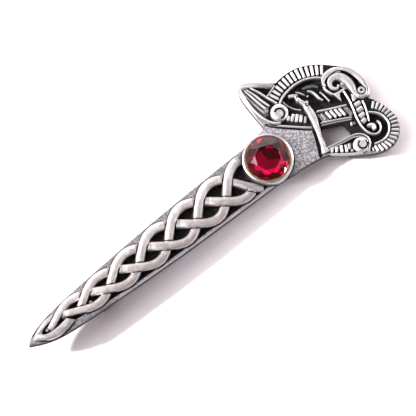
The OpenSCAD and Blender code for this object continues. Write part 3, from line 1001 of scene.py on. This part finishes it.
def make_big_arc():
    """The barred arc along the top of the head."""
    outer = [
        (75.85, 11.1), (77.3, 11.55), (79, 12.1), (80.5, 12.4), (82, 12.5), (83.5, 12.4),
        (85.1, 12.05), (86.7, 11.35), (88.3, 10.35), (89.9, 9.0),
    ]
    inner = [
        (76.9, 9.0), (78.1, 9.65), (79.5, 10.05), (81, 10.2), (82.5, 10.15), (84, 9.85),
        (85.4, 9.3), (86.6, 8.6), (87.6, 7.9), (88.5, 7.3),
    ]
    ladder(outer, inner, 13, 2.55, 0.56, "arc_bars")
    even_strand([
        (76.75, 8.3), (77.5, 8.75), (78.6, 9.2), (80.2, 9.5), (82, 9.6), (84, 9.3), (85.6, 8.65),
        (87, 7.7), (87.7, 7.1),
    ], 0.46, 2.75, "arc_rim")
    even_strand([(75.7, 11.35), (77.1, 11.75), (78.6, 12.35)], 0.3, 2.5, "arc_edge")


def make_limb():
    """The limb across the head, with its knuckles and the low strands round it."""
    strand([
        (79.2, 8.3, 0.55), (79.8, 8.0, 0.75), (80.4, 7.6, 0.7), (80.45, 6.9, 0.75),
        (80.55, 6.2, 0.85), (80.8, 5.4, 1.0), (80.95, 4.6, 1.15), (80.9, 3.6, 1.6),
        (80.8, 2.3, 1.7), (80.45, 0.9, 1.65), (79.95, -0.5, 1.3), (79.5, -1.9, 1.05),
        (78.85, -3.4, 0.9), (78.4, -4.8, 1.05), (78.0, -5.8, 1.4), (77.75, -6.7, 2.0),
    ], 2.95, "limb", SECTION_RIBBON)
    strand([(80.3, 7.75, 0.4), (80.8, 7.6, 0.45), (81.0, 7.3, 0.3)], 2.7, "toe")
    boss((80.4, 6.35), 0.5, 3.1, 0.25, "upper_knuckle")
    boss((81.55, 4.85), 0.42, 2.8, 0.25, "lower_knuckle")
    notch = [(81.5, 4.75), (81.15, 4.6), (81.0, 4.3), (81.15, 4.0), (81.55, 4.0)]
    groove(notch, 0.3, 1.9, "knuckle_notch")
    groove([(80.7, 7.15), (80.3, 6.95)], 0.22, 2.5, "toe_notch")
    low = [
        (2.0, [(81.2, 8.3, 0.34), (81.9, 7.5, 0.4), (82.4, 6.4, 0.3)]),
        (2.3, [(83.4, 6.9, 0.4), (84.05, 6.0, 0.55), (84.3, 5.0, 0.6), (84.4, 4.0, 0.6),
               (84.8, 3.0, 0.34)]),
        (2.2, [(85.4, 5.0, 0.26), (85.65, 3.6, 0.36), (85.75, 1.9, 0.34)]),
        (2.1, [(77.65, 8.4, 0.3), (77.9, 7.0, 0.32), (78.4, 5.8, 0.32), (79.1, 4.9, 0.32),
               (79.7, 4.3, 0.3)]),
    ]
    for i, (top, line) in enumerate(low):
        strand(line, top, f"low_strand_{i + 1}")
    swell = [(82.9, 8.0, 0.5), (84.2, 7.6, 1.0), (85.4, 6.9, 0.9), (85.9, 6.0, 0.5)]
    strand(swell, 1.62, "low_swell")
    boss((82.75, 5.9), 0.26, 2.0, 0.12, "low_dot")


def make_bands():
    """The barred bands left and right of the limb and under the window."""
    strand([
        (73.3, 4.75, 0.4), (74.3, 3.85, 0.5), (75.6, 2.65, 0.5), (77.1, 1.25, 0.48),
        (78.8, -0.2, 0.42),
    ], 2.45, "neck_rim")
    groove([
        (71.4, 6.75), (71.9, 5.8), (72.75, 4.75), (73.8, 3.75), (75.15, 2.5), (76.65, 1.1),
        (78.1, -0.2), (78.9, -0.75),
    ], 0.36, 1.35, "neck_line")
    limb_line = [(78.75, -0.9), (78.3, -2.3), (77.7, -3.9), (77.2, -5.2), (76.6, -6.3)]
    groove(limb_line, 0.5, 1.3, "limb_line", CUT)
    bars([
        (75.7, 4.2, 76.8, 4.75), (76.3, 3.5, 77.75, 4.6), (77.0, 2.75, 78.4, 4.1),
        (77.7, 2.1, 78.95, 3.4),
    ], 0.68, 2.6, "left_bars")
    bars([(78.4, 1.45, 79.5, 2.6)], 0.66, 2.15, "left_bar_low")
    rim = [(82.0, 1.85), (84.3, 0.65), (86.2, -0.25), (88.1, -1.1)]
    even_strand(rim, 0.46, 2.65, "right_rim_upper")
    even_strand([(81.1, -0.75), (83.5, -1.95), (87.3, -4.0)], 0.34, 2.6, "right_rim_lower")
    even_strand([(80.8, -1.2), (83.6, -2.55), (87.0, -4.35)], 0.24, 2.4, "window_rim")
    bars([
        (83.55, 0.65, 83.65, -1.35), (84.5, 0.25, 84.6, -1.85), (85.45, -0.15, 85.55, -2.3),
        (86.35, -0.6, 86.45, -2.75),
    ], 0.62, 2.5, "right_bars")
    grey = [(81.8, 1.4), (83.0, 0.9), (83.1, -1.3), (81.7, -0.7)]
    raised_plate(grey, 1.85, GROUND, "right_bars_grey", 0.1)
    grey = [(87.1, -0.9), (88.0, -1.2), (88.15, -3.3), (87.2, -3.6)]
    raised_plate(grey, 1.85, GROUND, "grey_patch", 0.1)
    bars([(82.45, 0.95, 82.55, -0.8)], 0.3, 2.1, "right_bar_low")
    bars([(86.5, -4.7, 86.0, -5.5)], 0.42, 2.35, "window_bar")
    bars([(87.0, -4.9, 86.75, -5.7)], 0.4, 1.9, "window_bar_low")
    bars([
        (78.75, -7.5, 79.6, -6.6), (79.6, -8.15, 80.45, -7.05), (80.55, -8.9, 81.4, -7.4),
    ], 0.64, 2.5, "lower_bars")
    bars([(81.45, -9.5, 82.35, -7.85), (82.35, -9.3, 83.2, -8.2)], 0.68, 2.15, "lower_bars_low")
    boss((82.6, -9.85), 0.3, 2.3, 0.15, "lower_dot")
    even_strand([
        (78.6, -6.05), (81.2, -6.6), (83.3, -7.0), (85.2, -7.4), (86.5, -8.3), (87.15, -9.6),
        (86.9, -10.8), (86.0, -11.75), (84.9, -12.0),
    ], 0.3, 2.6, "lower_rim_upper")
    even_strand([
        (78.7, -6.5), (81.2, -7.05), (83.2, -7.45), (84.7, -7.75), (85.9, -8.5), (86.6, -9.6),
        (86.4, -10.6),
    ], 0.26, 2.5, "lower_rim_inner")
    rim = [(78.3, -7.55, 0.4), (80.4, -9.25, 0.45), (82.8, -10.95, 0.45), (84.2, -11.75, 0.4)]
    strand(rim, 2.5, "lower_rim")
    boss((84.8, -10.1), 1.72, 2.85, 0.4, "lower_curl")
    groove(arc((85.2, -10.25), 0.9, 1.1, 95, 375), 0.4, 1.7, "lower_curl_groove")


def make_coil():
    """The barred coil at the lower right of the head."""
    outer = [
        (92.9, -3.7), (93.9, -4.9), (94.75, -6.8), (95.05, -8.8), (94.85, -10.6), (94.05, -12.1),
        (92.8, -13.4), (91.3, -14.1), (89.6, -14.35), (88.0, -14.1), (86.5, -13.3),
    ]
    inner = [
        (91.7, -4.9), (92.6, -6.1), (93.15, -7.4), (93.3, -8.8), (93.1, -10.2), (92.5, -11.3),
        (91.5, -12.1), (90.3, -12.6), (89.1, -12.7), (87.9, -12.4), (86.8, -12.0),
    ]
    ladder(outer, inner, 17, 2.55, 0.62, "coil_bars")
    bars([(86.2, -12.9, 86.6, -12.1), (85.3, -12.5, 85.7, -11.95)], 0.4, 2.2, "coil_bars_low")
    even_strand([
        (90.75, -5.3), (92.0, -6.5), (92.65, -7.6), (92.85, -8.75), (92.7, -10), (92, -11.1),
        (91.1, -11.85), (89.9, -12.25), (88.6, -12.2), (87.3, -11.8),
    ], 0.42, 2.75, "coil_rim")
    even_strand([(88.2, -5.6), (89, -5.9)], 0.3, 2.0, "coil_root")


def make_neck_strand():
    """The barred strand that falls from the beast's cheek and curls up in the coil."""
    even_strand([
        (89.5, 1.8), (89.3, 0), (88.9, -1.8), (88.4, -3.4), (87.85, -5.2), (87.6, -7.1),
        (87.8, -8.75), (88.5, -10.0), (89.5, -10.4), (90.5, -10.0), (91.15, -8.85), (90.9, -8.0),
    ], 0.4, 2.85, "neck_strand_left")
    right = [(91.4, -2.5), (91.05, -3.8), (90.4, -5.4), (89.6, -7.1)]
    even_strand(right, 0.36, 2.85, "neck_strand_right")
    raised_plate([
        (90.45, 0.25), (90.75, -0.5), (90.7, -1.25), (90.2, -1.45), (89.65, -1.4), (89.85, -0.8),
    ], 2.6, RAISED, "neck_bar_first", 0.12)
    outer = [(89.45, -1.65), (89.2, -2.9), (88.8, -4.2), (88.35, -5.6), (88.15, -7.0)]
    inner = [(91.0, -1.8), (90.85, -2.9), (90.35, -4.2), (89.75, -5.6), (89.15, -6.7)]
    ladder(outer, inner, 4, 2.6, 0.82, "neck_bars")
    strand([
        (88.6, -7.6, 0.5), (89.2, -7.9, 1.0), (89.7, -8.3, 1.2), (89.6, -8.9, 0.9),
        (89.0, -9.1, 0.5),
    ], 2.75, "neck_curl")


def make_beast():
    """The beast's brow, cheek, eye and collar."""
    strand([
        (86.9, 4.9, 0.5), (87.15, 6.0, 0.65), (87.9, 6.75, 0.95), (89.0, 7.05, 1.15),
        (90.2, 6.95, 1.25), (91.35, 6.5, 1.3), (92.35, 5.7, 1.35), (93.2, 4.45, 1.25),
        (93.8, 3.0, 1.15), (94.05, 1.6, 1.1), (94.1, 0.3, 1.0), (93.9, -0.8, 0.95),
        (93.4, -1.75, 0.9), (92.7, -2.05, 0.9),
    ], 3.05, "brow", SECTION_RIBBON)
    strand([
        (91.35, -1.5, 0.8), (91.2, -0.3, 0.95), (91.4, 0.9, 1.5), (91.65, 2.2, 1.95),
        (91.55, 3.5, 2.0), (91.05, 4.7, 1.9), (90.2, 5.45, 1.6), (89.2, 5.6, 1.35),
        (88.35, 5.2, 1.1), (87.95, 4.4, 0.9), (88.1, 3.6, 0.75), (88.65, 3.15, 0.6),
        (89.25, 3.25, 0.45), (89.4, 3.7, 0.3),
    ], 3.0, "cheek", SECTION_RIBBON)
    boss(EYE_AT, 1.8, 2.85, 0.3, "eye_lobe")
    ring = [(0.8, 1.5), (1.05, 1.5), (1.1, SKY), (0.75, SKY)]
    lathe(ring, EYE_AT, RECESS, CARVED, BOSS_STEPS, "eye_ring")
    pupil = [(0, 1.7), (0.3, 1.7), (0.34, SKY), (0, SKY)]
    lathe(pupil, EYE_AT, RECESS, CARVED, PUPIL_STEPS, "pupil")
    prism([
        (91.75, 0.1), (92.17, 0.85), (92.62, 1.85), (92.85, 2.9), (92.64, 3.95), (92.2, 4.7),
        (91.5, 5.5), (91.95, 5.85), (92.64, 4.95), (93.1, 4.0), (93.36, 2.9), (93.48, 1.85),
        (93.55, 0.75), (93.6, 0.0), (93.1, 0.35), (92.4, 0.35),
    ], 1.1, SKY, RECESS, CARVED, "brow_gap")
    groove([
        (91.9, 5.8), (91.1, 6.2), (90.2, 6.38), (89.2, 6.38), (88.3, 6.05), (87.6, 5.45),
        (87.35, 4.6), (87.45, 3.75), (87.95, 3.0), (88.65, 2.68), (89.35, 2.78),
    ], 0.2, 2.25, "cheek_line")
    groove([
        (90.6, 7.75), (92.0, 6.75), (93.2, 5.4), (94.1, 3.7), (94.45, 2.2), (94.45, 0.7),
        (94.2, -0.6), (93.6, -1.7),
    ], 0.14, 2.85, "brow_line")
    raised_plate([
        (86.75, 4.2), (87.1, 3.2), (87.6, 2.6), (88.3, 2.4), (89.2, 2.35), (89.9, 2.2),
        (89.85, 1.85), (89.2, 1.8), (88.55, 1.9), (88.1, 1.2), (87.8, 0.3), (87.6, 1.2),
        (87.4, 2.2), (86.9, 3.0),
    ], 2.7, RAISED, "collar", 0.14)
    ear = [(86.7, 5.1, 0.4), (86.65, 4.2, 0.5), (86.9, 3.4, 0.5), (87.2, 2.7, 0.5)]
    strand(ear, 2.75, "ear_edge")
    throat = [(89.75, 3.3), (90.65, 4.0), (90.7, 2.9), (90.65, 1.8), (89.9, 2.0)]
    raised_plate(throat, 1.95, GROUND, "throat_grey", 0.1)


def unite(plate):
    """Applies the cuts, the added solids and the carving to the plate, and lays it down."""
    for group, kind in ((CUT, "DIFFERENCE"), (ADDED, "UNION"), (CARVED, "DIFFERENCE")):
        step = plate.modifiers.new(group.name, "BOOLEAN")
        step.operation = kind
        step.solver = "MANIFOLD"
        step.operand_type = "COLLECTION"
        step.collection = group
    graph = bpy.context.evaluated_depsgraph_get()
    shape = bpy.data.meshes.new_from_object(plate.evaluated_get(graph))
    plate.modifiers.clear()
    plate.data = shape
    for group in (CUT, ADDED, CARVED):
        for part in list(group.objects):
            bpy.data.meshes.remove(part.data)
        bpy.data.collections.remove(group)
    shape.transform(BODY_TO_REST)
    shape.set_sharp_from_angle(angle=SHADE_SHARP)


def make_casting():
    """The one-piece casting with all its ornament."""
    casting = make_plate()
    cut_blade()
    cut_head()
    make_plait()
    make_setting()
    make_wing()
    make_big_arc()
    make_limb()
    make_bands()
    make_coil()
    make_neck_strand()
    make_beast()
    cut_seat()
    unite(casting)
    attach(casting, "root")
    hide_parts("casting")


def cut_facet(bm, place, normal):
    """Cuts a stone flat at a place and closes it again."""
    cut = bmesh.ops.bisect_plane(
        bm, geom=bm.verts[:] + bm.edges[:] + bm.faces[:], dist=SAME, plane_co=place,
        plane_no=normal, clear_outer=True,
    )
    rim = [g for g in cut["geom_cut"] if isinstance(g, bmesh.types.BMEdge)]
    bmesh.ops.edgeloop_fill(bm, edges=rim)


def make_stone():
    """A round stone cut by rings of facets, with a foiled back."""
    bm = bmesh.new()
    bmesh.ops.create_cone(
        bm, cap_ends=True, segments=ROUND_STEPS, radius1=STONE_R, radius2=STONE_R, depth=STONE_H,
        matrix=Matrix.Translation((*STONE_AT, SEAT_T + STONE_H / 2)),
    )
    for count, slope, share, turn, side, drop in STONE_FACETS:
        level = GIRDLE_TOP - drop if side > 0 else GIRDLE_TOP - GIRDLE_T
        tilt = math.radians(slope)
        for i in range(count):
            way = 2 * math.pi * (i + turn) / count
            out = Vector((math.cos(way), math.sin(way), 0))
            normal = out * math.sin(tilt) + Vector((0, 0, side * math.cos(tilt)))
            cut_facet(bm, Vector((*STONE_AT, level)) + out * STONE_R * share, normal)
    bmesh.ops.recalc_face_normals(bm, faces=bm.faces)
    for face in bm.faces:
        if face.normal.z > GLASS_ABOVE:
            face.material_index = GLASS
        elif face.normal.z > FOIL_BELOW:
            face.material_index = GIRDLE
        else:
            face.material_index = FOIL
    bmesh.ops.transform(bm, matrix=BODY_TO_REST, verts=bm.verts)
    finishes = (red_glass(), foil_back(), foil_edge())
    stone = add_object("faceted_stone", mesh_of("faceted_stone", bm, finishes))
    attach(stone, "root")
    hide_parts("stone")


def make_bar_pin():
    """The bar pin's own shape in plated steel, with small round edges."""
    bm = bmesh.new()
    bm.from_mesh(frame["nodes"]["bar_pin"].data)
    bmesh.ops.remove_doubles(bm, verts=bm.verts, dist=SAME)
    bmesh.ops.dissolve_limit(bm, angle_limit=PIN_FLAT, verts=bm.verts, edges=bm.edges)
    sharp = [e for e in bm.edges if e.is_manifold and e.calc_face_angle() > PIN_SHARP]
    bmesh.ops.bevel(
        bm, geom=sharp, offset=PIN_EDGE * MM, segments=2, profile=0.5, affect="EDGES",
        clamp_overlap=True, material=-1,
    )
    for face in bm.faces:
        face.smooth = True
    pin = add_object("plated_bar_pin", mesh_of("plated_bar_pin", bm, [plated_steel()]))
    pin.data.set_sharp_from_angle(angle=SHADE_SHARP)
    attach(pin, "root")
    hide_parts("bar_pin")


# Surroundings

def make_floor():
    """A plain pale floor, far wider than the picture."""
    bm = bmesh.new()
    bmesh.ops.create_grid(bm, x_segments=1, y_segments=1, size=3.0)
    paper, tree, shader = new_material("white_paper")
    feed(tree, shader, Base_Color=(0.9, 0.845, 0.875), Roughness=0.9, Specular_IOR_Level=0.1)
    floor = add_object("floor", mesh_of("floor", bm, [paper]))


def add_lamp(name, light, aim, direction, distance):
    """Places a light at a distance from its aim and turns it there."""
    lamp = add_object(name, light)
    away = Vector(direction).normalized()
    lamp.location = aim + away * distance
    lamp.rotation_mode = "QUATERNION"
    lamp.rotation_quaternion = away.to_track_quat("Z", "Y")


def add_disc(name, direction, distance, size, radiance):
    """A round area light that shines on the pin's middle from a direction."""
    light = bpy.data.lights.new(name, "AREA")
    light.shape = "DISK"
    light.size = size
    light.energy = radiance * math.pi * math.pi * (size / 2) ** 2
    add_lamp(name, light, Vector(), direction, distance)


def add_spot(name, aim, direction, distance, angle, energy):
    """A soft-edged spot that shines on one place of the drawing from a direction."""
    light = bpy.data.lights.new(name, "SPOT")
    light.energy = energy
    light.spot_size = math.radians(angle)
    light.spot_blend = 1.0
    light.shadow_soft_size = 0.04
    add_lamp(name, light, BODY_TO_REST @ Vector((*aim, 0)), direction, distance)


def make_room():
    """A pale room that is dim near the camera and beside it overhead.

    Each row is a direction, the range of the cosine to it, and the strength at the range's ends.
    """
    world = bpy.data.worlds.new("studio")
    world.use_nodes = True
    tree = world.node_tree
    around = node(tree, "ShaderNodeTexCoord", (-800, 0)).outputs["Generated"]
    tilt = FAR * math.cos(CAMERA_HEIGHT)
    level = UP * math.sin(CAMERA_HEIGHT)
    rows = [
        (level + tilt, 0.93, 0.98, 1.0, 0.1),
        (level - tilt, 0.965, 0.99, 1.0, 0.1),
        (FAR, -0.4, 0.5, 0.1, 1.15),
    ]
    amounts = []
    for i, (towards, *ranges) in enumerate(rows):
        along = node(tree, "ShaderNodeVectorMath", (-600, -200 * i), operation="DOT_PRODUCT")
        fill_in(tree, along.inputs[0], around)
        fill_in(tree, along.inputs[1], towards)
        amounts.append(ranged(tree, along.outputs["Value"], *ranges, (-400, -200 * i)))
    overhead = maths(tree, "MULTIPLY", (-200, 0), amounts[0], amounts[1])
    strength = maths(tree, "MULTIPLY", (-50, 0), overhead, amounts[2])
    feed(tree, tree.nodes["Background"], Strength=strength, Color=(1.0, 0.90, 0.93))
    bpy.context.scene.world = world


def make_lights():
    """A key from the upper left, softer lights round it, and two low spots for the floor."""
    add_disc("key", (-0.67, 0.45, 0.61), 1.0, 0.08, 1200)
    add_disc("softbox", (-0.34, 0.36, 0.87), 0.7, 0.45, 5.0)
    add_disc("window", (0.45, 0.78, 0.42), 0.8, 0.7, 1.2)
    add_disc("card", (0.85, -0.50, 0.14), 0.14, 0.12, 2.0)
    add_spot("head_spot", (108, 0), (0.85, -0.1, 0.5), 0.25, 9.5, 7)
    add_spot("floor_spot", (79, -18), (0.4, -0.75, 0.5), 0.25, 7, 5)


def make_camera():
    """A long lens at the photograph's angle to the pin, above its lower side."""
    right = Vector((math.cos(CAMERA_TURN), -math.sin(CAMERA_TURN), 0))
    back = UP * math.sin(CAMERA_HEIGHT) - FAR * math.cos(CAMERA_HEIGHT)
    turn = Matrix((right, back.cross(right), back)).transposed()
    half = PICTURE_PX / 2
    across = (half - TIP_PX[0]) * MM_PER_PX
    rise = (TIP_PX[1] - half) * MM_PER_PX / math.sin(CAMERA_HEIGHT)
    aim = right * across + FAR * rise + Vector((0, 0, DRAWN_LEVEL))
    reach = PICTURE_PX * MM_PER_PX * CAMERA_LENS / CAMERA_SENSOR
    lens = bpy.data.cameras.new("camera")
    lens.lens = CAMERA_LENS
    lens.sensor_width = CAMERA_SENSOR
    lens.clip_start = 0.01
    lens.clip_end = 10
    camera = add_object("camera", lens)
    camera.location = BODY_TO_REST @ (aim + back * reach)
    camera.rotation_mode = "QUATERNION"
    camera.rotation_quaternion = (Matrix.Rotation(PITCH, 3, "Y") @ turn).to_quaternion()
    bpy.context.scene.camera = camera


make_casting()
make_stone()
make_bar_pin()
make_floor()
make_room()
make_lights()
make_camera()
bpy.context.scene.view_settings.view_transform = "Standard"
